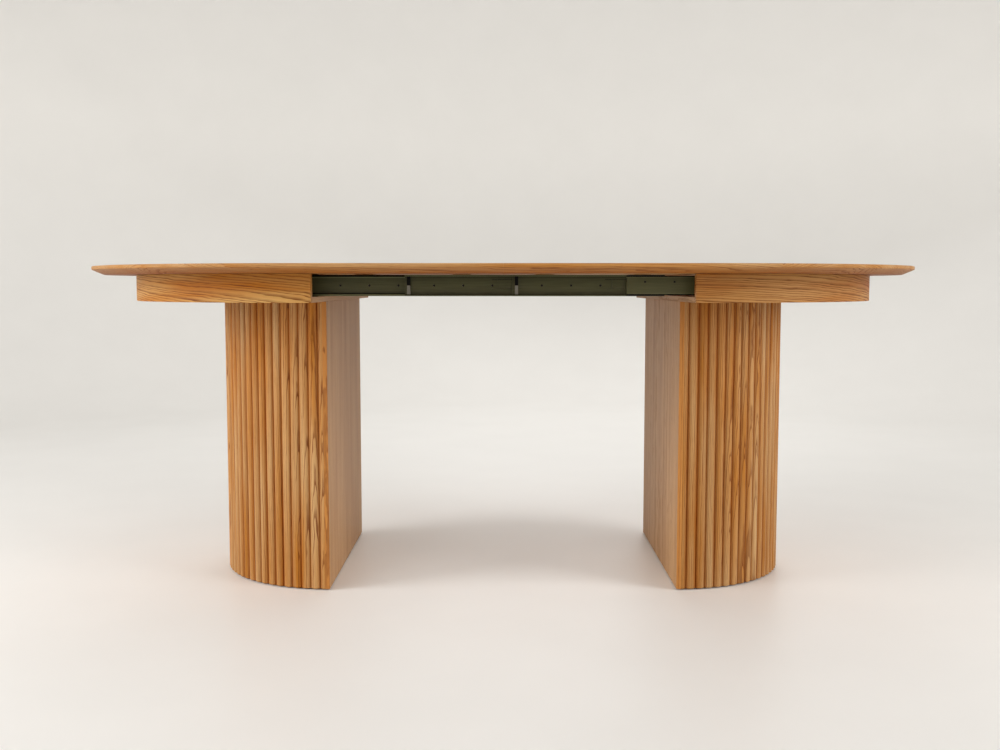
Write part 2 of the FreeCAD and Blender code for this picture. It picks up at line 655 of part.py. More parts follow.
def fourth_member(side, at):
    """Runner that is fixed to the right end, its cleat and its screws."""
    name = "slide_fourth_" + at
    profile = join(name + "_profile", runner(name, side, (FOURTH_LEFT, FOURTH_RIGHT), 3, STACK))
    level = "(%s + fourth_hole_lift)" % SLIDE_MIDDLE
    places = hole_places(FOURTH_LEFT, "fourth_hole_start", FOURTH_HOLES)
    plain = cross_holes(name, side, places, level)
    start = "(2 * %s + channel_wall + run_clear)" % STAGE
    fixed = places[FOURTH_FREE_HOLES:FOURTH_FREE_HOLES + SLIDE_SCREWS]
    holes = slide_screws(name + "_screw_hole", side, fixed, level, start, True, "screw_clear")
    keep(cut(name, profile, plain + holes), name)
    along = span(RIGHT, "(%s + cleat_setback)" % FACE, "(%s + %s)" % (FACE, CLEAT_REACH))
    wood_support("slide_cleat_" + at, along, depth(side, STACK, "%s + cleat_width" % STACK), holes)
    return slide_screws(name + "_screw", side, fixed, level, start, True)


for side, end in ENDS:
    screw_holes = top_screws(side, end)
    top_half(side, end, screw_holes)
    alignment_pins(side, end)
    leaf(side, end)
    leaf_battens(side, end)
    apron(side, end)
    base_board(side, end, screw_holes)
    cross_rails(side, end, screw_holes)
    staves(side, end)
    face_panel(side, end)
    pedestal_boards(side, end)
    glides(side, end)
    pedestal_bolts(side, end)

left_screws = []
right_screws = []
for side, at in SIDES:
    left_screws += first_member(side, at)
    middle_member("second", side, at, 1, (SECOND_LEFT, SECOND_RIGHT), THIRD_LEFT)
    middle_member("third", side, at, 2, (THIRD_LEFT, THIRD_RIGHT), FOURTH_LEFT)
    right_screws += fourth_member(side, at)
keep(group("slide_screws_left", left_screws), "slide_screws_left")
keep(group("slide_screws_right", right_screws), "slide_screws_right")

doc.recompute()
for piece in doc.Objects:
    if "Invalid" in piece.State or "Error" in piece.State:
        raise RuntimeError("%s failed: %s" % (piece.Label, piece.State))
for piece in nodes:
    if piece.Shape.isNull() or not piece.Shape.isValid() or not piece.Shape.Solids:
        raise RuntimeError("%s has no sound shape" % piece.Label)

os.makedirs("parts", exist_ok=True)
for piece in nodes:
    piece.Shape.exportStep("parts/%s.step" % piece.Label)
    print("%s: %d solids, %.0f mm3" % (piece.Label, len(piece.Shape.Solids), piece.Shape.Volume))
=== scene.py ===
"""Looks of an extending oak table: softened wooden pieces, procedural finishes and a plain studio."""

import json
import logging
import math
from dataclasses import dataclass, field
from enum import Enum
from functools import partial
from typing import Any, Callable, Mapping, Sequence

import bmesh
import bpy
import numpy as np
from bpy.types import ID, Material, Node, NodeSocket as Socket, NodeTree, Object, bpy_prop_collection as Outputs
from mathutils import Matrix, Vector


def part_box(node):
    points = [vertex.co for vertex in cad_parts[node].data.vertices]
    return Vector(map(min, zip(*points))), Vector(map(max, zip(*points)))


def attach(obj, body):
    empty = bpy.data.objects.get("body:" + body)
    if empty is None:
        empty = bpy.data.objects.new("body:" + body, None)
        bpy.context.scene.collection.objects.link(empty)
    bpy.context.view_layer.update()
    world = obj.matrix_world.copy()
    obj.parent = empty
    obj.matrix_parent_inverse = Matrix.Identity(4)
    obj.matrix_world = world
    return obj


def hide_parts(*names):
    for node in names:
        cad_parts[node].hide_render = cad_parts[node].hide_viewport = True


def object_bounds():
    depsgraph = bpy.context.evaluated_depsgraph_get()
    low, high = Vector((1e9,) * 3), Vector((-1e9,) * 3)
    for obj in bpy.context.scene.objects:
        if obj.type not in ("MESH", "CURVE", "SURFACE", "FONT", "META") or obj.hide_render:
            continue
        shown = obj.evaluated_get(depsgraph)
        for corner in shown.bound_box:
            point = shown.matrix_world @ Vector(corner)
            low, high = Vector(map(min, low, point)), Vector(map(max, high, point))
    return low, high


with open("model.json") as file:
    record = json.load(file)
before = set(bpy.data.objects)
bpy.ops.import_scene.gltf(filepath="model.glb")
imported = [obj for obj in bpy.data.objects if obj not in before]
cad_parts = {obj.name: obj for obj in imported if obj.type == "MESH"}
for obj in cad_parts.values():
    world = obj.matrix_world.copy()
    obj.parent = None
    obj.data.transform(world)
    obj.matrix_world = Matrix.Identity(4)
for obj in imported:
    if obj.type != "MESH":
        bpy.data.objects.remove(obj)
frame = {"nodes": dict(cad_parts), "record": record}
CAD_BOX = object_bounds()

LOG = logging.getLogger("table")
MM = 0.001
SEED = 7
SHARP_ANGLE = math.radians(40)
Pair = tuple[float, float]
Triple = tuple[float, float, float]

ATTRIBUTE = "Attribute"
BUMP = "Bump"
COMBINE = "CombineXYZ"
COORDINATES = "TexCoord"
MAPPING = "Mapping"
MATH = "Math"
MIX = "Mix"
NOISE = "TexNoise"
RAMP = "ValToRGB"
RANGE = "MapRange"
SEPARATE = "SeparateXYZ"
VECTOR = "VectorMath"
WHITE_NOISE = "TexWhiteNoise"
# Numbers of a mix node's colour sockets, whose names aren't unique.
MIX_SHARE, MIX_FIRST, MIX_SECOND, MIXED = 0, 6, 7, 2


class Sided(Enum):
    """One of two sides, with the sign of its direction."""

    @property
    def word(self) -> str:
        """Ending of the names of this side's pieces."""
        return self.name.lower()

    @property
    def sign(self) -> int:
        """Which way this side lies."""
        return self.value


class End(Sided):
    """The two ends along the table."""

    LEFT = -1
    RIGHT = 1

    @property
    def body(self) -> str:
        """Body that the pieces fixed to this end ride on."""
        return self.word + "_half"

    def inner(self, low: Vector, high: Vector) -> float:
        """Where a box of this end is nearest to the other end."""
        return low.x if self.sign > 0 else high.x

    def outer(self, low: Vector, high: Vector) -> float:
        """Where a box of this end is farthest from the other end."""
        return high.x if self.sign > 0 else low.x


class Side(Sided):
    """The two slides across the table."""

    NEAR = -1
    FAR = 1


class Grain(Enum):
    """Where wood takes its grain from: the piece's own attribute, or the turn that lays X along the grain."""

    CARRIED = None
    ALONG_X = (0.0, 0.0, 0.0)
    ALONG_Y = (0.0, 0.0, -math.pi / 2)


def linear(hex_colour: str) -> tuple[float, ...]:
    """Linear red, green and blue of an sRGB hex colour, and an alpha of 1."""
    channels = np.array([int(hex_colour[i:i + 2], 16) for i in (1, 3, 5)]) / 255
    low, high = channels / 12.92, ((channels + 0.055) / 1.055) ** 2.4
    return (*np.where(channels <= 0.04045, low, high).tolist(), 1.0)


def fill(node: Node, inputs: Mapping[str | int, Any]) -> None:
    """Set inputs of a node to values, or link them to output sockets, by name or number."""
    for key, value in inputs.items():
        if isinstance(value, Socket):
            node.id_data.links.new(value, node.inputs[key])
        else:
            node.inputs[key].default_value = value


def add_node(tree: NodeTree, kind: str, settings: Mapping[str, Any] | None = None,
             inputs: Mapping[str | int, Any] | None = None) -> Node:
    """Add one node, set its properties and fill its inputs.

    Args:
        tree: node tree that the node joins.
        kind: the node's identifier after its first words, ShaderNode.
        settings: properties of the node by name.
        inputs: values or output sockets by the input's name or number.

    Returns:
        The new node.
    """
    node = tree.nodes.new("ShaderNode" + kind)
    for name, value in (settings or {}).items():
        setattr(node, name, value)
    fill(node, inputs or {})
    return node


def calc(add: partial, operation: str, *values: Any, kind: str = MATH) -> Socket:
    """Result of a node of plain or vector maths on numbers, vectors or sockets."""
    return add(kind, {"operation": operation}, dict(enumerate(values))).outputs[0]


def scaled(add: partial, vector: Socket, scale: Any) -> Socket:
    """Vector or colour times one number."""
    return add(VECTOR, {"operation": "SCALE"}, {0: vector, "Scale": scale}).outputs[0]


def span(add: partial, value: Socket, start: float, stop: float, low: float = 0.0, high: float = 1.0,
         curve: str = "LINEAR") -> Socket:
    """Value carried from the range of start and stop to the one of low and high, and held at both ends."""
    return add(RANGE, {"interpolation_type": curve}, {
        "Value": value, "From Min": start, "From Max": stop, "To Min": low, "To Max": high}).outputs[0]


def blend(add: partial, share: Socket, base: Any, colour: str, how: str = "MIX") -> Socket:
    """Linear colour or socket of one, mixed or multiplied by a share with a hex colour."""
    return add(MIX, {"data_type": "RGBA", "blend_type": how}, {
        MIX_SHARE: share, MIX_FIRST: base, MIX_SECOND: linear(colour)}).outputs[MIXED]


def new_material(name: str) -> tuple[Material, Node, partial]:
    """Empty node material, its one shader and the function that adds a node to it."""
    material = bpy.data.materials.new(name)
    material.use_nodes = True
    material.node_tree.nodes.clear()
    add = partial(add_node, material.node_tree)
    shader = add("BsdfPrincipled")
    add("OutputMaterial", inputs={"Surface": shader.outputs["BSDF"]})
    return material, shader, add


@dataclass(frozen=True)
class Wood:
    """Planed wood cut from a trunk: rings round a pith, pores along the grain and slow changes of tone.

    The eye sees dark lines of open early wood, wide apart where a face lies along a ring and close where it
    cuts across, on a paler, denser late wood, under a thin matt oiled finish, with painted shade in hollows and
    on edges. Sizes of noise are along and across the grain; its ranges are the values between which it takes effect.
    """

    name: str
    grain: Grain
    pale: str
    warm: str
    line: str
    ring_mm: float = 5.0
    line_strength: float = 0.85
    line_width: float = 0.4
    line_onset: float = 0.93
    line_rest: float = 0.3
    line_depth: float = 0.5
    year_scale: float = 0.29
    year_spread: float = 2.2
    wander_mm: float = 9.0
    wander_size_mm: Pair = (600.0, 70.0)
    ripple_mm: float = 1.8
    ripple_size_mm: Pair = (48.0, 11.0)
    tilt: float = 0.02
    plank_mm: float = 0.0
    trunk_mm: float = 4000.0
    pith_depth_mm: float = 25.0
    pith_spread_mm: float = 60.0
    cloud_size_mm: Pair = (420.0, 38.0)
    cloud_range: Pair = (0.32, 0.68)
    fibre_mm: float = 1.5
    fibre_stretch: float = 45.0
    fibre_spread: float = 0.07
    fibre_range: Pair = (0.25, 0.75)
    break_range: Pair = (0.38, 0.62)
    pore_mm: float = 0.8
    pore_stretch: float = 24.0
    pore_range: Pair = (0.56, 0.72)
    pore_strength: float = 0.55
    pores_between: float = 0.25
    tone_spread: float = 0.08
    # Colour multiplied in as painted shade where a piece marks grooves or edges.
    painted_shade_tint: str = "#FFFFFF"
    lip_tint: str = "#FFFFFF"
    lip_lines: float = 1.0
    roughness: float = 0.52
    roughness_range: Pair = (-0.04, 0.08)
    specular: float = 0.25
    bump_mm: float = 0.12
    bump_strength: float = 0.5

    def material(self) -> Material:
        """Node material, whose rings, pores and fibres give colour, gloss and height."""
        material, shader, add = new_material(self.name)
        place, tone = self._place(add)
        line = self._line(add, place)
        pores = self._pores(add, place, line)
        smooth, rough = (self.roughness + change for change in self.roughness_range)
        bump = add(BUMP, {"invert": True}, {
            "Strength": self.bump_strength, "Distance": self.bump_mm * MM,
            "Height": calc(add, "MULTIPLY_ADD", line, self.line_depth, pores)})
        fill(shader, {
            "Base Color": self._colour(add, place, line, pores, tone), "Specular IOR Level": self.specular,
            "Roughness": span(add, line, 0.0, 1.0, smooth, rough), "Normal": bump.outputs["Normal"]})
        return material

    def _place(self, add: partial) -> tuple[Socket, Socket]:
        """Place in the trunk, in millimetres with X along the grain, and the brightness of the board."""
        if self.grain is Grain.CARRIED:
            source = add(ATTRIBUTE, {"attribute_name": "grain"}).outputs["Vector"]
        else:
            points = add(COORDINATES).outputs["Object"]
            source = add(MAPPING, inputs={"Vector": points, "Rotation": self.grain.value}).outputs[0]
        place = scaled(add, source, 1 / MM)
        board = add(ATTRIBUTE, {"attribute_name": "tone"}).outputs["Fac"]
        if self.plank_mm:
            place, board = self._planks(add, place)
        return place, calc(add, "MULTIPLY_ADD", board, self.tone_spread, 1.0)

    def _planks(self, add: partial, place: Socket) -> tuple[Socket, Socket]:
        """Place in each plank's own trunk and tone from -1 to 1, by a chance of the plank's number."""
        parts = add(SEPARATE, inputs={0: place}).outputs
        step = calc(add, "DIVIDE", parts["Y"], self.plank_mm)
        number = calc(add, "FLOOR", step)
        chance = add(WHITE_NOISE, {"noise_dimensions": "1D"}, {"W": number}).outputs
        local = calc(add, "MULTIPLY", calc(add, "SUBTRACT", step, number), self.plank_mm)
        inside = add(COMBINE, inputs={"X": parts["X"], "Y": local, "Z": parts["Z"]}).outputs[0]
        reach = (self.trunk_mm, -2 * self.plank_mm, self.pith_spread_mm)
        shifted = calc(add, "MULTIPLY_ADD", chance["Color"], reach, inside, kind=VECTOR)
        level = self.pith_depth_mm - CAD_BOX[1].z / MM
        moved = calc(add, "ADD", shifted, (0.0, self.plank_mm / 2, level), kind=VECTOR)
        return moved, calc(add, "MULTIPLY_ADD", chance["Value"], 2.0, -1.0)

    def _noise(self, add: partial, place: Socket, size_mm: Pair, detail: float = 1.0) -> Outputs:
        """Outputs of a noise whose features have a length along and a width across the grain."""
        along, across = size_mm
        places = calc(add, "MULTIPLY", place, (1 / along, 1 / across, 1 / across), kind=VECTOR)
        return add(NOISE, inputs={"Vector": places, "Scale": 1.0, "Detail": detail}).outputs

    def _moved(self, add: partial, place: Socket, noise: Socket, reach_mm: float) -> Socket:
        """Place moved across the grain by a noise, up to a reach either way."""
        centred = calc(add, "SUBTRACT", noise, (0.5, 0.5, 0.5), kind=VECTOR)
        return calc(add, "MULTIPLY_ADD", centred, (0.0, 2 * reach_mm, 2 * reach_mm), place, kind=VECTOR)

    def _line(self, add: partial, place: Socket) -> Socket:
        """Dark line of each ring: 1 where the year starts, gone at the line's share of the ring.

        The count of rings is the distance from a tilted, wandering pith divided by the ring's width, and a
        noise of that distance makes some years wider than others.

        Args:
            add: adds a node to this material.
            place: place in the trunk.

        Returns:
            Socket of the line's strength.
        """
        wander = self._noise(add, place, self.wander_size_mm, detail=1.5)["Color"]
        ripple = self._noise(add, place, self.ripple_size_mm)["Color"]
        swung = self._moved(add, place, wander, self.wander_mm)
        parts = add(SEPARATE, inputs={0: self._moved(add, swung, ripple, self.ripple_mm)}).outputs
        deep = calc(add, "MULTIPLY_ADD", parts["X"], self.tilt, parts["Z"])
        across = add(COMBINE, inputs={"Y": parts["Y"], "Z": deep}).outputs[0]
        radius = add(VECTOR, {"operation": "LENGTH"}, {0: across}).outputs["Value"]
        years = calc(add, "DIVIDE", radius, self.ring_mm)
        uneven = add(NOISE, {"noise_dimensions": "1D"}, {"W": years, "Scale": self.year_scale}).outputs["Fac"]
        share = calc(add, "FRACT", calc(add, "MULTIPLY_ADD", uneven, self.year_spread, years))
        fade = span(add, share, 0.0, self.line_width, 1.0, 0.0, "SMOOTHSTEP")
        rise = span(add, share, self.line_onset, 1.0, curve="SMOOTHSTEP")
        return calc(add, "MAXIMUM", fade, rise)

    def _pores(self, add: partial, place: Socket, line: Socket) -> Socket:
        """Strength of open pores: the peaks of a noise along the grain, most of them in the dark lines."""
        noise = self._noise(add, place, (self.pore_stretch * self.pore_mm, self.pore_mm))["Fac"]
        peak = span(add, noise, *self.pore_range, curve="SMOOTHSTEP")
        open_wood = calc(add, "MULTIPLY_ADD", line, 1 - self.pores_between, self.pores_between)
        return calc(add, "MULTIPLY", peak, open_wood)

    def _colour(self, add: partial, place: Socket, line: Socket, pores: Socket, tone: Socket) -> Socket:
        """Colour: slow clouds of pale and warm wood, lines broken into fibres, pores, and painted shade in the
        hollows.

        Args:
            add: adds a node to this material.
            place: place in the trunk.
            line: strength of the rings' lines.
            pores: strength of the pores.
            tone: brightness of the board.

        Returns:
            Socket of the colour.
        """
        cloud = span(add, self._noise(add, place, self.cloud_size_mm, detail=2.0)["Fac"], *self.cloud_range)
        fibre = self._noise(add, place, (self.fibre_stretch * self.fibre_mm, self.fibre_mm), detail=3.0)["Fac"]
        broken = span(add, fibre, *self.break_range, self.line_rest)
        lip = add(ATTRIBUTE, {"attribute_name": "lip"}).outputs["Fac"]
        # Painted shade that the piece carries in its grooves or towards its edges' undersides.
        hollow = add(ATTRIBUTE, {"attribute_name": "hollow"}).outputs["Fac"]
        strength = calc(add, "MULTIPLY_ADD", lip, self.line_strength * self.lip_lines, self.line_strength)
        drawn = calc(add, "MULTIPLY", calc(add, "MULTIPLY", line, broken), strength)
        colour = blend(add, cloud, linear(self.pale), self.warm)
        colour = blend(add, drawn, colour, self.line)
        colour = blend(add, calc(add, "MULTIPLY", pores, self.pore_strength), colour, self.line)
        colour = blend(add, hollow, colour, self.painted_shade_tint, "MULTIPLY")
        colour = blend(add, lip, colour, self.lip_tint, "MULTIPLY")
        streak = span(add, fibre, *self.fibre_range, 1 - self.fibre_spread, 1 + self.fibre_spread)
        return scaled(add, colour, calc(add, "MULTIPLY", streak, tone))


@dataclass(frozen=True)
class Worked:
    """Metal, plastic, plaster or rubber with the streaks or specks that rolling, plating or moulding leave.

    The bands are stops of height above the floor in millimetres and brightness there: painted highlights
    and painted shade on the coat.
    """

    name: str
    colour: str
    second: str
    roughness: float
    metallic: float = 0.0
    ior: float = 1.5
    streak_mm: Triple = (2.0, 2.0, 2.0)
    streak_range: Pair = (0.3, 0.7)
    roughness_spread: float = 0.08
    bump_mm: float = 0.02
    bump_strength: float = 0.4
    specular: float = 0.5
    bands: tuple[Pair, ...] = ()

    def material(self) -> Material:
        """Node material: noise of the streak's size mixes two colours, and moves gloss and height."""
        material, shader, add = new_material(self.name)
        points = add(COORDINATES).outputs["Object"]
        streaks = calc(add, "MULTIPLY", points, tuple(1 / (size * MM) for size in self.streak_mm), kind=VECTOR)
        noise = add(NOISE, inputs={"Vector": streaks, "Scale": 1.0, "Detail": 3.0}).outputs["Fac"]
        colour = blend(add, span(add, noise, *self.streak_range), linear(self.colour), self.second)
        sheen = self.specular
        # The bands paint highlights and shade along the height.
        if self.bands:
            gain = self._gain(add, points)
            colour, sheen = scaled(add, colour, gain), calc(add, "MULTIPLY", gain, self.specular)
        gloss = span(add, noise, 0.0, 1.0, self.roughness - self.roughness_spread,
                     self.roughness + self.roughness_spread)
        bump = add(BUMP, inputs={"Strength": self.bump_strength, "Distance": self.bump_mm * MM, "Height": noise})
        fill(shader, {
            "Base Color": colour, "Specular IOR Level": sheen, "Roughness": gloss, "Metallic": self.metallic,
            "IOR": self.ior, "Normal": bump.outputs["Normal"]})
        return material

    def _gain(self, add: partial, points: Socket) -> Socket:
        """Painted light and shade at places on the piece by their height, through the stops of the bands."""
        heights, gains = np.array(self.bands).T
        places, peak = (heights - heights[0]) / np.ptp(heights), gains.max()
        height = add(SEPARATE, inputs={0: points}).outputs["Z"]
        ramp = add(RAMP, inputs={0: span(add, height, heights[0] * MM, heights[-1] * MM)})
        stops = ramp.color_ramp.elements
        for place in places[1:-1]:
            stops.new(place)
        for stop, share in zip(stops, gains / peak):
            stop.color = (share, share, share, 1.0)
        return calc(add, "MULTIPLY", ramp.outputs["Color"], peak)


# Oiled oak: honey and orange wood under dark broken lines, nearly matt. The boards show long arches, the bent skirts
# slanting lines, and the reeds fine ones with painted shade in the grooves; the top's edge has painted shade
# towards its underside.
OAK = {"pale": "#BF9766", "line": "#6A3105", "specular": 0.14}
BENT = {"line_strength": 1.0, "line_width": 0.55, "tilt": 0.12, "specular": 0.14}
# The top's tint is painted shade on its edge, darkest at the underside.
OAK_TOP = Wood("oiled oak boards, planed", Grain.ALONG_X, warm="#B37D3E", **OAK, ring_mm=3.6, line_strength=0.75,
               plank_mm=98.0, fibre_mm=2.0, fibre_spread=0.14, painted_shade_tint="#CEA45F")
OAK_CURVED = Wood("oiled oak, bent and sanded", Grain.CARRIED, "#CBA05F", "#AC6817", "#642B04", **BENT)
# Darker copy of the bent oak for the right skirt: painted shade.
OAK_CURVED_SHADED = Wood("oiled oak, bent and sanded, darker board", Grain.CARRIED, "#B98A50", "#9D5913", "#5A2403",
                       **BENT)
# The reeds' tint is painted shade in their grooves.
OAK_REEDS = Wood("oiled oak, moulded reeds", Grain.CARRIED, warm="#AD6F27", **OAK, ring_mm=3.4, line_strength=0.95,
                 ripple_mm=1.6, tilt=0.024, fibre_spread=0.12, painted_shade_tint="#D9AC68")
# Quarter-cut veneer and boards faced with it: quiet upright lines, greyer than the solid oak.
VENEER = {"pale": "#BF9464", "warm": "#AF8152", "line": "#7C502B"}
OAK_VENEER = Wood("oiled oak veneer, quarter cut", Grain.CARRIED, **VENEER, ring_mm=3.6, line_strength=0.45,
                  wander_mm=4.0, tilt=0.004, bump_mm=0.05, lip_tint="#FFE0A8")
OAK_BOARD = Wood("oak faced board, sawn", Grain.ALONG_Y, **VENEER, ring_mm=4.0, line_strength=0.4, plank_mm=140.0)
# Stained beech and plywood, seen in gaps: close, faint grain on plain brown or cream.
BEECH = {"pale": "#A98258", "warm": "#9A724A", "line": "#775231", "ring_mm": 2.4, "line_strength": 0.3,
         "wander_mm": 4.0, "plank_mm": 60.0, "bump_mm": 0.05}
BEECH_ACROSS = Wood("stained beech, across the table", Grain.ALONG_Y, **BEECH)
BEECH_ALONG = Wood("stained beech, along the table", Grain.ALONG_X, **BEECH)
BIRCH_PLY = Wood("sanded birch plywood", Grain.ALONG_Y, "#D9BE97", "#CDAE84", "#B08A5E", line_strength=0.3,
                 plank_mm=300.0, bump_mm=0.04)
# Olive coat on rolled steel: a dark, half-matt green with faint long streaks, with painted highlights on lips and
# edges, and painted shade, nearly black, in the gaps along them.
OLIVE = {"colour": "#4E4E2E", "second": "#444425", "roughness": 0.42, "specular": 0.3,
         "streak_mm": (60.0, 3.0, 3.0)}
OLIVE_WIDE = Worked("olive coated steel, rubbed lower lip, greased upper lip", **OLIVE, bands=(
    (691.6, 1.5), (695.4, 1.45), (696.0, 0.25), (698.0, 0.3), (698.8, 1.0), (712.0, 1.0), (731.0, 0.75),
    (731.6, 1.7), (733.4, 1.7), (733.9, 0.08), (738.0, 0.03)))
OLIVE_MIDDLE = Worked("olive coated steel, greased under its lips", **OLIVE, bands=(
    (691.6, 1.05), (693.6, 1.0), (694.2, 0.45), (696.0, 0.5), (696.8, 1.0), (712.0, 1.0), (731.0, 0.72),
    (731.4, 0.55), (733.2, 0.55), (734.2, 1.0), (738.0, 1.05)))
OLIVE_BAR = Worked("olive coated steel, rubbed edges, greased runners", **OLIVE, bands=(
    (691.6, 0.05), (696.2, 0.05), (696.5, 1.5), (698.2, 1.45), (698.7, 1.15), (712.0, 1.15), (730.8, 0.95),
    (731.4, 1.45), (733.0, 1.5), (733.4, 0.05), (738.0, 0.05)))
# Near black, for spots of painted shade in holes, slits and gaps between members.
BLACK_PAINTED_SHADE = Worked("black painted shade", "#0B0B08", "#070705", 0.6, specular=0.2, streak_mm=(1.0, 1.0, 1.0))
# Fittings: grey satin zinc, turned steel and brass with fine rings, dull nylon and rubber with specks of the mould.
ZINC_STEEL = Worked("zinc plated steel", "#B9B9B4", "#A6A7A4", 0.34, metallic=1.0)
TURNED_STEEL = Worked("turned steel", "#BDBDBA", "#ACACAA", 0.28, metallic=1.0, streak_mm=(0.8, 6.0, 6.0))
TURNED_BRASS = Worked("turned brass", "#C8A257", "#B58E47", 0.30, metallic=1.0)
GREY_NYLON = Worked("moulded grey nylon", "#78766B", "#706E63", 0.50, streak_mm=(1.5, 1.5, 1.5))
DARK_NYLON = Worked("moulded dark nylon", "#35302A", "#2D2823", 0.52, streak_mm=(1.5, 1.5, 1.5))
BLACK_RUBBER = Worked("moulded black rubber", "#060606", "#0A0A09", 0.75, specular=0.15, streak_mm=(1.0, 1.0, 1.0))
# Studio plaster: an even warm white with soft, wide clouds.
PLASTER = Worked("pale plaster, trowelled", "#F1EFEB", "#EFEDE9", 0.45, streak_mm=(300.0, 300.0, 300.0),
                 roughness_spread=0.05)

SLOT_FINISHES: Mapping[str, Wood | Worked] = {
    "oak_top": OAK_TOP,
    "oak_apron": OAK_CURVED,
    "oak_reeds": OAK_REEDS,
    "oak_panel": OAK_VENEER,
    "plywood": BIRCH_PLY,
    "beech": BEECH_ACROSS,
    "slide_steel": OLIVE_MIDDLE,
    "stop_nylon": GREY_NYLON,
    "buffer_rubber": BLACK_RUBBER,
    "glide_nylon": DARK_NYLON,
    "zinc_steel": ZINC_STEEL,
    "pin_steel": TURNED_STEEL,
    "insert_brass": TURNED_BRASS,
}
NODE_FINISHES: Mapping[str, Wood | Worked] = {
    **{"base_board_" + end.word: OAK_BOARD for end in End},
    **{"slide_%s_%s" % (part, side.word): BEECH_ALONG for part in ("bearer", "cleat") for side in Side},
}


class Finishes:
    """Materials made once each, on first use."""

    def __init__(self) -> None:
        """Start with none made."""
        self._made: dict[str, Material] = {}

    def of(self, finish: Wood | Worked) -> Material:
        """Material of a finish, made if it isn't there yet."""
        if finish.name not in self._made:
            self._made[finish.name] = finish.material()
        return self._made[finish.name]

    def dress_frame(self) -> None:
        """Give every constructed node the finish of its own name or of its slot."""
        slots = {part["node"]: part["material_slot"] for part in frame["record"]["subparts"]}
        for name, node in frame["nodes"].items():
            finish = NODE_FINISHES.get(name) or SLOT_FINISHES[slots[name]]
            node.data.materials.clear()
            node.data.materials.append(self.of(finish))
            LOG.info("%s: %s", name, finish.name)


def unit(vectors: np.ndarray) -> np.ndarray:
    """Vectors of length 1 in the same directions."""
    return vectors / np.linalg.norm(vectors, axis=-1, keepdims=True)


def spread(*axes: np.ndarray) -> np.ndarray:
    """Points of arrays by axis, each spread over the others."""
    return np.stack(np.broadcast_arrays(*axes), axis=-1)


def softened(corners: np.ndarray, radii: Sequence[float], steps: int) -> np.ndarray:
    """Arcs in place of the inner corners of an outline.

    A corner's circle touches both sides at radius / tan(half the angle between them), and its points are the
    even turn from one touching direction to the other.

    Args:
        corners: points of the outline, with a neighbour before the first and after the last softened corner.
        radii: radius at each softened corner.
        steps: points of each arc.

    Returns:
        Points of all the arcs in order.
    """
    before, corner, after = corners[:-2], corners[1:-1], corners[2:]
    radius = np.asarray(radii, float)[:, None]
    back, ahead = unit(before - corner), unit(after - corner)
    half = np.arccos(np.clip((back * ahead).sum(1, keepdims=True), -1, 1)) / 2
    middle = corner + unit(back + ahead) * radius / np.sin(half)
    start = unit(corner + back * radius / np.tan(half) - middle)[:, None]
    stop = unit(corner + ahead * radius / np.tan(half) - middle)[:, None]
    turn = (np.pi - 2 * half)[:, :, None]
    share = np.linspace(0, 1, steps)[None, :, None]
    arc = (np.sin((1 - share) * turn) * start + np.sin(share * turn) * stop) / np.sin(turn)
    return (middle[:, None] + radius[:, :, None] * arc).reshape(-1, 2)


def softened_box(start: Pair, stop: Pair, radii: Sequence[float], steps: int) -> np.ndarray:
    """Rectangle with every corner softened.

    Args:
        start: its first corner.
        stop: the corner across from it.
        radii: radius at each corner, the first axis leading from the first to the second.
        steps: points of each arc.

    Returns:
        Points of the outline.
    """
    corners = [start, (stop[0], start[1]), stop, (start[0], stop[1])]
    return softened(np.array([corners[-1], *corners, corners[0]], float), radii, steps)


def closed_faces(rings: np.ndarray) -> list[list[int]]:
    """Faces of closed shells, each of rings carried along a path.

    Point (i, j) joins (i, j + 1) round its ring and (i + 1, j) on the next ring, and a flat face closes each
    end.

    Args:
        rings: points by ring and place round it, or by shell, ring and place.

    Returns:
        Numbers of the points round each face.
    """
    shells, rows, columns = rings.reshape(-1, *rings.shape[-3:]).shape[:3]
    index = np.arange(shells * rows * columns).reshape(shells, rows, columns)
    around = np.roll(index, -1, axis=2)
    sides = np.stack((index[:, :-1], around[:, :-1], around[:, 1:], index[:, 1:]), axis=-1)
    return sides.reshape(-1, 4).tolist() + index[:, 0, ::-1].tolist() + index[:, -1].tolist()


def put_in_scene(name: str, data: ID) -> Object:
    """New object of a mesh, lamp or camera."""
    made = bpy.data.objects.new(name, data)
    bpy.context.scene.collection.objects.link(made)
    return made


def make_piece(name: str, rings: np.ndarray, material: Material, **carried: np.ndarray) -> Object:
    """Mesh object of closed shells, faces outwards, shaded smooth up to its sharp edges.

    Args:
        name: name of the piece.
        rings: points by ring and place round it, or by shell, ring and place.
        material: its finish.
        carried: what its wood needs, by name, at each point or spread over the points.

    Returns:
        The new object, at the origin.
    """
    mesh = bpy.data.meshes.new(name)
    mesh.from_pydata(rings.reshape(-1, 3).tolist(), [], closed_faces(rings))
    for word, value in carried.items():
        kind, key = ("FLOAT_VECTOR", "vector") if word == "grain" else ("FLOAT", "value")
        values = np.broadcast_to(value, rings.shape if word == "grain" else rings.shape[:-1])
        mesh.attributes.new(word, kind, "POINT").data.foreach_set(key, values.astype(np.float32).ravel())
    shape = bmesh.new()
    shape.from_mesh(mesh)
    bmesh.ops.recalc_face_normals(shape, faces=shape.faces)
    shape.to_mesh(mesh)
    shape.free()
    mesh.shade_smooth()
    mesh.set_sharp_from_angle(angle=SHARP_ANGLE)
    mesh.materials.append(material)
    piece = put_in_scene(name, mesh)
    piece.modifiers.new("even shading", "WEIGHTED_NORMAL").keep_sharp = True
    return piece


def stand_for(piece: Object, node: str, body: str) -> None:
    """Put a piece in the place of a constructed node, on a body."""
    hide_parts(node)
    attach(piece, body)
    LOG.info("%s: %d faces for %s", piece.name, len(piece.data.polygons), node)


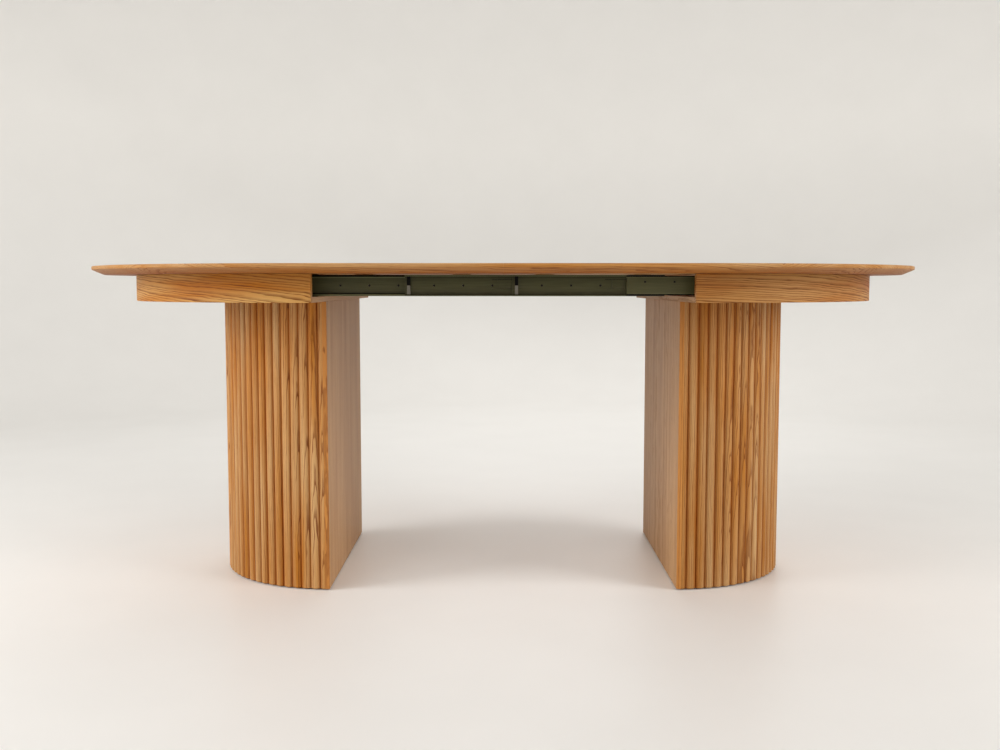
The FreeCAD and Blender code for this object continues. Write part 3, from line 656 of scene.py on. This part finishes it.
@dataclass
class TableTop:
    """Half-round ends and loose leaves of the top, with one bevelled edge all round."""

    finishes: Finishes
    edge_face: float = 8 * MM
    bevel_inset: float = 28 * MM
    bevel_soft: float = 6 * MM
    edge_soft: float = 3 * MM
    rim_soft: float = 2 * MM
    soft_points: int = 8
    seam_ease: float = 0.8 * MM
    seam_close: float = 0.15 * MM
    slot_room: float = 0.5 * MM
    arc_points: int = 181
    foot: float = field(init=False)
    top: float = field(init=False)
    radius: float = field(init=False)

    def __post_init__(self) -> None:
        """Take the levels and the radius from the frame."""
        low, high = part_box("top_half_right")
        self.foot, self.top, self.radius = low.z, high.z, high.x - low.x

    def build(self) -> None:
        """Make both ends and both leaves."""
        for end in End:
            self.half(end)
            self.leaf(end)

    def profile(self) -> tuple[np.ndarray, np.ndarray, np.ndarray]:
        """Edge from the underside to the upper face: reach, height and how far the seam is eased there.

        The seam's ease is a quarter circle at the upper and lower edge: ease - sqrt(ease^2 - depth^2).

        Returns:
            Reach from the middle, height and seam ease of each row.
        """
        corners = np.array([(0.0, self.foot), (self.radius - self.bevel_inset, self.foot),
                            (self.radius, self.top - self.edge_face), (self.radius, self.top), (0.0, self.top)])
        radii = (self.bevel_soft, self.edge_soft, self.rim_soft)
        reach, height = softened(corners, radii, self.soft_points).T
        ease = self.seam_ease
        depth = ease - np.minimum(np.minimum(height - self.foot, self.top - height), ease)
        return reach, height, ease - np.sqrt(np.maximum(ease ** 2 - depth ** 2, 0))

    def edge_shade(self, height: np.ndarray) -> np.ndarray:
        """Painted shade on the edge at a height: most at the underside, none at the upper face."""
        return (self.top - height) / (self.top - self.foot)

    def half(self, end: End) -> None:
        """Half-round end: at each row of the edge, a half circle of that reach closed by the seam.

        Args:
            end: which end of the table.
        """
        node = "top_half_" + end.word
        seam = end.inner(*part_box(node)) - end.sign * self.seam_close
        reach, height, ease = (row[:, None] for row in self.profile())
        turn = np.linspace(-np.pi / 2, np.pi / 2, self.arc_points)[None]
        away = ease + reach * np.cos(turn) * (1 - (ease - self.seam_close) / self.radius)
        rings = spread(seam + end.sign * away, reach * np.sin(turn), height)
        piece = make_piece("oak_end_" + end.word, rings, self.finishes.of(OAK_TOP), hollow=self.edge_shade(height))
        stand_for(piece, node, end.body)

    def leaf(self, end: End) -> None:
        """Loose leaf: at each row of the edge, a rectangle of that reach, with slots cut for the pins.

        Args:
            end: the end that the leaf lies against.
        """
        node = "leaf_" + end.word
        low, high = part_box(node)
        reach, height, ease = self.profile()
        left, right = low.x - self.seam_close + ease, high.x + self.seam_close - ease
        rings = spread(np.stack((left, right, right, left), 1), np.stack((-reach, -reach, reach, reach), 1),
                       height[:, None])
        edge_shade = self.edge_shade(height)[:, None]
        piece = make_piece("oak_leaf_" + end.word, rings, self.finishes.of(OAK_TOP), hollow=edge_shade)
        self.cut_slots(piece, end)
        stand_for(piece, node, node)

    def cut_slots(self, piece: Object, end: End) -> None:
        """Cut the leaf's slots, which drop over the pins from above.

        Args:
            piece: the leaf.
            end: the end whose pins they take.
        """
        low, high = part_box("alignment_pins_" + end.word)
        half = (high.z - low.z) / 2 + self.slot_room
        rows = np.array((low.y + half - self.slot_room, 0.0, high.y - half + self.slot_room))
        tip, seam = end.inner(low, high), end.outer(*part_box("leaf_" + end.word))
        along = np.array((tip - end.sign * self.slot_room, seam + end.sign * half))
        levels = np.array((self.foot - half, high.z + self.slot_room))
        boxes = spread(along[[0, 1, 1, 0]], rows[:, None, None] + half * np.array((-1, -1, 1, 1)), levels[:, None])
        cutter = make_piece("slot_cutter", boxes, piece.data.materials[0])
        boolean = piece.modifiers.new("pin slots", "BOOLEAN")
        boolean.operation, boolean.solver, boolean.object = "DIFFERENCE", "EXACT", cutter
        shading = piece.modifiers["even shading"]
        shading.show_viewport = False
        whole = piece.evaluated_get(bpy.context.evaluated_depsgraph_get())
        plain, piece.data = piece.data, bpy.data.meshes.new_from_object(whole)
        piece.data.name = piece.name
        piece.modifiers.remove(boolean)
        shading.show_viewport = True
        bpy.data.objects.remove(cutter)
        bpy.data.meshes.remove(plain)


@dataclass
class Skirt:
    """Half-round skirts under the ends of the top, bent along the grain."""

    finishes: Finishes
    wall: float = 20 * MM
    soft: float = 1.2 * MM
    soft_points: int = 4
    bend_points: int = 121
    pith_below: float = 78 * MM
    pith_behind: Pair = (24 * MM, 112 * MM)
    # The right skirt's darker finish is painted shade.
    boards: tuple[Wood, Wood] = (OAK_CURVED, OAK_CURVED_SHADED)

    def build(self) -> None:
        """Carry the skirt's section round a half circle at each end."""
        for end, behind, board in zip(End, self.pith_behind, self.boards):
            self.half(end, behind, board)

    def half(self, end: End, behind: float, board: Wood) -> None:
        """One skirt: its rounded section turned about the middle of the flat side.

        Args:
            end: which end of the table.
            behind: how far the pith of its board lay behind the outer face.
            board: finish of its board.
        """
        node = "apron_" + end.word
        low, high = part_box(node)
        outside = high.y
        section = softened_box(
            (outside - self.wall, low.z), (outside, high.z), (self.soft,) * 4, self.soft_points)
        reach, height = section.T[:, None]
        turn = np.linspace(-np.pi / 2, np.pi / 2, self.bend_points)[:, None]
        away = end.sign * reach * np.cos(turn)
        rings = spread(end.inner(low, high) + away, reach * np.sin(turn), height)
        grain = spread(end.sign * turn * outside, height - low.z + self.pith_below, outside - reach + behind)
        piece = make_piece("oak_skirt_" + end.word, rings, self.finishes.of(board), grain=grain)
        stand_for(piece, node, end.body)


@dataclass
class Pedestal:
    """Half-round pedestal: reeded staves glued edge to edge, and a flat face towards the other pedestal."""

    finishes: Finishes
    end: End
    crest: float = 300 * MM
    reeds: int = 40
    reed_depth: float = 6 * MM
    reed_points: int = 15
    stave_wall: float = 16 * MM
    glue_gap: float = 0.2 * MM
    cut_rounds: int = 8
    foot_ease: float = 0.8 * MM
    shade_power: float = 1.3
    reeds_per_board: int = 5
    board_share: float = 0.6
    trunk_length: float = 4.0
    pith_aside: float = 12 * MM
    pith_aside_spread: float = 80 * MM
    pith_behind: float = 60 * MM
    pith_behind_spread: float = 30 * MM
    panel_soft: float = 1.5 * MM
    panel_ease: float = 0.5 * MM
    panel_points: int = 5
    panel_pith: float = 400 * MM

    def build(self) -> None:
        """Make the staves and the flat face."""
        self.staves()
        self.face()

    @property
    def step(self) -> float:
        """Angle that one stave takes."""
        return np.pi / self.reeds

    def reed_reach(self, aside: np.ndarray) -> np.ndarray:
        """Distance from the pedestal's axis to the reed, at an angle from the reed's middle.

        The reed is the circle through its crest and its two grooves: with its middle at distance d and radius
        r, the reach is d cos(a) + sqrt(r^2 - d^2 sin^2(a)).

        Args:
            aside: angles from the reed's middle.

        Returns:
            Distances from the axis.
        """
        half = self.step / 2
        groove = self.crest - self.reed_depth
        rise = self.crest - groove * math.cos(half)
        radius = ((groove * math.sin(half)) ** 2 + rise ** 2) / (2 * rise)
        middle = self.crest - radius
        return middle * np.cos(aside) + np.sqrt(radius ** 2 - (middle * np.sin(aside)) ** 2)

    def back_reach(self, aside: np.ndarray) -> np.ndarray:
        """Distance from the axis to the stave's flat back, at an angle from its middle."""
        return (self.crest - self.stave_wall) / np.cos(aside)

    def across(self, reach_at: Callable[[np.ndarray], np.ndarray], share: np.ndarray, thick: float,
               ) -> tuple[np.ndarray, np.ndarray]:
        """One side of all staves, between the start and the end angle of each.

        The outer two are cut off at the back of the flat face, where reach x sin(angle) is its thickness. That
        angle is put back into the reach until it settles.

        Args:
            reach_at: distance from the axis at an angle from a stave's middle.
            share: places across a stave, between 0 and 1.
            thick: thickness of the flat face.

        Returns:
            Angle and distance from the axis, by stave and place.
        """
        starts = np.arange(self.reeds)[:, None] * self.step
        cut = self.step / 2
        for _ in range(self.cut_rounds):
            cut = math.asin(thick / float(reach_at(np.array(cut - self.step / 2))))
        first, last = np.maximum(starts, cut), np.minimum(starts + self.step, np.pi - cut)
        angle = first + share * (last - first)
        return angle, reach_at(angle - (starts + self.step / 2))

    def boards(self, angle: np.ndarray, reach: np.ndarray, levels: np.ndarray) -> tuple[np.ndarray, np.ndarray]:
        """Grain and tone: each board of the trunk gives a few staves side by side, so the grain runs on.

        Args:
            angle: angle of each point, by stave, level and place.
            reach: its distance from the axis.
            levels: its height.

        Returns:
            Place in the trunk of each point, and tone of each stave.
        """
        chance = np.random.default_rng(SEED + self.end.sign)
        board = np.arange(self.reeds) // self.reeds_per_board
        along, aside, behind, board_tone = (
            chance.uniform(-1, 1, board[-1] + 1)[board][:, None, None] for _ in range(4))
        stave_tone = chance.uniform(-1, 1, (self.reeds, 1, 1))
        middle = ((board + 0.5) * self.reeds_per_board * self.step)[:, None, None]
        pith = np.sign(aside) * (self.pith_aside + self.pith_aside_spread * abs(aside))
        grain = spread(levels + self.trunk_length * along, (angle - middle) * self.crest + pith,
                       self.crest - reach + self.pith_behind + self.pith_behind_spread * behind)
        return grain, self.board_share * board_tone + (1 - self.board_share) * stave_tone

    def staves(self) -> None:
        """All staves at once: their section of reed and flat back carried upwards, eased at both ends."""
        node = "staves_" + self.end.word
        low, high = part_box(node)
        panel_low, panel_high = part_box("face_panel_" + self.end.word)
        thick = panel_high.x - panel_low.x + self.glue_gap
        flat = self.end.inner(panel_low, panel_high)
        share = np.linspace(0, 1, self.reed_points)
        reed_angle, reed_reach = self.across(self.reed_reach, share, thick)
        back_angle, back_reach = self.across(self.back_reach, share[::-(self.reed_points // 2)], thick)
        angle = np.concatenate((reed_angle, back_angle), axis=1)[:, None]
        outside = np.concatenate((np.ones_like(reed_angle), np.zeros_like(back_angle)), axis=1)[:, None]
        levels = np.array((low.z, low.z + self.foot_ease, high.z - self.foot_ease, high.z))[None, :, None]
        eased = self.foot_ease * np.array((1.0, 0.0, 0.0, 1.0))[None, :, None]
        reach = np.concatenate((reed_reach, back_reach), axis=1)[:, None] - eased * outside
        rings = spread(flat + self.end.sign * reach * np.sin(angle), -reach * np.cos(angle), levels)
        grain, tone = self.boards(angle, reach, levels)
        # Painted shade in the grooves: darkest at the bottom of each groove, none on the crests or the back.
        hollow = outside * np.clip((self.crest - reach) / self.reed_depth, 0, 1) ** self.shade_power
        piece = make_piece("oak_staves_" + self.end.word, rings, self.finishes.of(OAK_REEDS), grain=grain, tone=tone,
                           hollow=hollow)
        stand_for(piece, node, self.end.body)

    def face(self) -> None:
        """Flat face: its section with softened corners carried upwards, drawn in a little at both ends."""
        node = "face_panel_" + self.end.word
        low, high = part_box(node)
        front, back = (self.end.inner(low, high), low.y), (self.end.outer(low, high), high.y)
        ease = self.panel_ease
        outline = softened_box(front, back, (self.panel_soft, ease, ease, self.panel_soft), self.panel_points)
        middle = np.array(((low.x + high.x) / 2, 0.0))
        drawn_in = outline - ease * np.sign(outline - middle)
        levels = np.array((low.z, low.z + ease, high.z - ease, high.z))[:, None]
        plan = np.stack((drawn_in, outline, outline, drawn_in))
        rings = spread(plan[..., 0], plan[..., 1], levels)
        grain = spread(rings[..., 2], rings[..., 0] + self.panel_pith, rings[..., 1])
        lip = (np.abs(rings[..., 1]) > high.y - self.panel_soft / 2).astype(float)
        piece = make_piece("oak_face_" + self.end.word, rings, self.finishes.of(OAK_VENEER), grain=grain, lip=lip)
        stand_for(piece, node, self.end.body)


@dataclass(frozen=True)
class Member:
    """One member of a slide: its look, its free holes and, on a middle member, the one that runs in it."""

    order: str
    finish: Worked
    hole_start: float
    holes: tuple[int, ...]
    face_depth: float = 9 * MM
    hole_lift: float = 0.0
    body: str = ""
    inner: str = ""
    # Whether its lips get black strips of painted shade from where the inner member starts.
    shaded_lips: bool = False

    def node(self, side: Side) -> str:
        """Name of this member's node on one side of the table."""
        return "slide_%s_%s" % (self.order, side.word)


MEMBERS = (
    Member("first", OLIVE_WIDE, 65.2 * MM, (2, 3, 4, 5), body="left_half"),
    Member("second", OLIVE_MIDDLE, 64 * MM, (0, 1, 2), inner="third"),
    Member("third", OLIVE_MIDDLE, 64 * MM, (0, 1, 2), inner="fourth", shaded_lips=True),
    Member("fourth", OLIVE_BAR, 40 * MM, (0, 1, 4), face_depth=0.0, hole_lift=8 * MM, body="right_half"),
)


@dataclass
class Slides:
    """Rolled steel slide members, whose folded edges are slightly round, with black spots of painted shade in their
    free holes, latch slits and along lips.
    """

    finishes: Finishes
    fold: float = 0.5 * MM
    fold_steps: int = 2
    fold_angle: float = math.radians(50)
    flat_angle: float = math.radians(1)
    weld: float = 0.001 * MM
    hole_pitch: float = 64 * MM
    hole_radius: float = 2.4 * MM
    slit_length: float = 46 * MM
    slit_level: float = 13.2 * MM
    slit_half: float = 0.5 * MM
    slit_soft: float = 0.4 * MM
    lip: float = 3.8 * MM
    shade_strip_inset: float = 0.6 * MM
    shade_plug_depth: Pair = (1.0 * MM, 0.4 * MM)
    shade_strip_depth: Pair = (-0.2 * MM, 0.12 * MM)
    corner_points: int = 4

    def dress(self) -> None:
        """Round the edges of every member and add its black spots of painted shade."""
        for side in Side:
            for member in MEMBERS:
                self.soften(frame["nodes"][member.node(side)], member.finish)
                self.paint_shade(member, side)

    def soften(self, node: Object, finish: Worked) -> None:
        """Round a member's edges with modifiers, over the constructed shape.

        Args:
            node: the constructed member.
            finish: its look.
        """
        node.data.materials[0] = self.finishes.of(finish)
        node.modifiers.new("join", "WELD").merge_threshold = self.weld
        flat = node.modifiers.new("plain faces", "DECIMATE")
        flat.decimate_type, flat.angle_limit = "DISSOLVE", self.flat_angle
        fold = node.modifiers.new("folds", "BEVEL")
        fold.width, fold.segments = self.fold, self.fold_steps
        fold.limit_method, fold.angle_limit = "ANGLE", self.fold_angle
        fold.harden_normals = True
        LOG.info("%s: folds of %.1f mm", node.name, self.fold / MM)

    def paint_shade(self, member: Member, side: Side) -> None:
        """Painted shade of a member: black plugs under its face in the holes and slit, and black strips on the face
        of lips that the next one runs in.

        Args:
            member: which member.
            side: which slide.
        """
        name = member.node(side)
        low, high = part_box(name)
        front = high.y if side.sign > 0 else -low.y
        plan = self.holes(member, low, high)
        depths = np.tile(front - member.face_depth - np.array(self.shade_plug_depth), (len(plan), 1))
        if member.inner:
            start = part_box("slide_%s_%s" % (member.inner, side.word))[0].x
            plan = np.concatenate((plan, self.slit(start, (low.z + high.z) / 2)))
            depths = np.concatenate((depths, depths[:1]))
            if member.shaded_lips:
                plan = np.concatenate((plan, self.lip_shade_strips(start, low, high)))
                depths = np.concatenate((depths, np.tile(front + np.array(self.shade_strip_depth), (2, 1))))
        rings = spread(plan[:, None, :, 0], side.sign * depths[:, :, None], plan[:, None, :, 1])
        piece = make_piece(name + "_grease", rings, self.finishes.of(BLACK_PAINTED_SHADE))
        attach(piece, member.body or name)
        LOG.info("%s: %d spots", piece.name, len(plan))

    def holes(self, member: Member, low: Vector, high: Vector) -> np.ndarray:
        """Circles in the free holes of a member's box: centre plus radius times cosine and sine."""
        turn = np.linspace(0, 2 * np.pi, 4 * self.corner_points, endpoint=False)
        along = low.x + member.hole_start + self.hole_pitch * np.array(member.holes)[:, None]
        level = (low.z + high.z) / 2 + member.hole_lift
        return spread(along + self.hole_radius * np.cos(turn), level + self.hole_radius * np.sin(turn))

    def spot(self, start: Pair, stop: Pair) -> np.ndarray:
        """Outline of one long black spot of painted shade with soft corners."""
        return softened_box(start, stop, (self.slit_soft,) * 4, self.corner_points)

    def slit(self, stop: float, middle: float) -> np.ndarray:
        """Upper slit of the latch over a member's middle, which ends where the inner member starts."""
        level = middle + self.slit_level
        return self.spot((stop - self.slit_length, level - self.slit_half), (stop, level + self.slit_half))[None]

    def lip_shade_strips(self, start: float, low: Vector, high: Vector) -> np.ndarray:
        """Black strips of painted shade on the lower and the upper lip of a member's box, from where the inner
        member starts.
        """
        stop = high.x - self.shade_strip_inset
        return np.stack((self.spot((start, low.z + self.shade_strip_inset), (stop, low.z + self.lip)),
                         self.spot((start, high.z - self.lip), (stop, high.z - self.shade_strip_inset))))


@dataclass(frozen=True)
class Lamp:
    """Square soft lamp: where it hangs and its side, in metres, and its power, in watts."""

    name: str
    place: Triple
    size: float
    power: float

    def build(self) -> None:
        """Hang the lamp, out of the camera's sight, to look at the middle of the table."""
        light = bpy.data.lights.new(self.name, "AREA")
        light.energy, light.size = self.power, self.size
        lamp = put_in_scene(self.name, light)
        middle = (CAD_BOX[0] + CAD_BOX[1]) / 2
        lamp.location = self.place
        lamp.rotation_euler = (middle - lamp.location).to_track_quat("-Z", "Y").to_euler()
        lamp.visible_camera = False


LAMPS = (
    Lamp("key", (-4.0, -1.5, 2.0), 2.2, 115.0),
    Lamp("front", (-2.5, -3.5, 2.3), 2.0, 25.0),
    Lamp("fill", (3.9, -2.0, 2.0), 2.2, 95.0),
    Lamp("back", (0.6, 3.6, 2.8), 2.6, 45.0),
)


@dataclass
class Studio:
    """Pale round cove, soft lamps, even sky and the camera of the photograph."""

    finishes: Finishes
    cove_radius: float = 5.4
    cove_bend: float = 1.8
    cove_height: float = 3.6
    cove_middle: float = 0.02
    bend_points: int = 17
    turn_points: int = 96
    sky: str = "#F4F2EF"
    sky_strength: float = 0.44
    camera_place: Triple = (-0.0073, -2.8267, 0.7154)
    camera_dip: float = 0.0818
    focal_px: float = 1095.27
    image_px: float = 1000.0
    sensor_mm: float = 36.0

    def build(self) -> None:
        """Make the cove, the lamps, the world and the camera."""
        self.cove()
        for lamp in LAMPS:
            lamp.build()
        self.world()
        self.camera()

    def cove(self) -> None:
        """Floor that bends up into a round wall: a profile of line, arc and line turned about the middle."""
        bend = np.linspace(0, np.pi / 2, self.bend_points)
        edge = self.cove_radius - self.cove_bend
        reach = np.concatenate(((self.cove_middle,), edge + self.cove_bend * np.sin(bend), (self.cove_radius,)))
        height = np.concatenate(((0.0,), self.cove_bend * (1 - np.cos(bend)), (self.cove_height,)))
        turn = np.linspace(0, 2 * np.pi, self.turn_points, endpoint=False)
        rings = spread(reach[:, None] * np.cos(turn), reach[:, None] * np.sin(turn), height[:, None])
        index = np.arange(rings[..., 0].size).reshape(rings.shape[:2])
        around = np.roll(index, -1, axis=1)
        sides = np.stack((index[:-1], index[1:], around[1:], around[:-1]), axis=-1).reshape(-1, 4)
        mesh = bpy.data.meshes.new("cove")
        mesh.from_pydata(rings.reshape(-1, 3).tolist(), [], sides.tolist() + [index[0].tolist()])
        mesh.shade_smooth()
        mesh.materials.append(self.finishes.of(PLASTER))
        cove = put_in_scene("cove", mesh)

    def world(self) -> None:
        """Even pale light from above the cove."""
        world = bpy.data.worlds.new("studio")
        world.use_nodes = True
        world.node_tree.nodes.clear()
        sky = add_node(world.node_tree, "Background", inputs={
            "Color": linear(self.sky), "Strength": self.sky_strength})
        add_node(world.node_tree, "OutputWorld", inputs={"Surface": sky.outputs[0]})
        bpy.context.scene.world = world

    def camera(self) -> None:
        """Camera of the photograph: its place, dip and lens."""
        data = bpy.data.cameras.new("camera")
        data.sensor_width = self.sensor_mm
        data.lens = self.focal_px / self.image_px * self.sensor_mm
        camera = put_in_scene("camera", data)
        camera.location = self.camera_place
        camera.rotation_euler = (math.pi / 2 - self.camera_dip, 0.0, 0.0)
        bpy.context.scene.camera = camera


def main() -> None:
    """Dress the frame, build the softened pieces and set the studio."""
    logging.basicConfig(level=logging.INFO, format="%(name)s: %(message)s")
    bpy.context.scene.view_settings.view_transform = "Standard"
    finishes = Finishes()
    finishes.dress_frame()
    TableTop(finishes).build()
    Skirt(finishes).build()
    for end in End:
        Pedestal(finishes, end).build()
    Slides(finishes).dress()
    Studio(finishes).build()


if __name__ == "__main__":
    main()
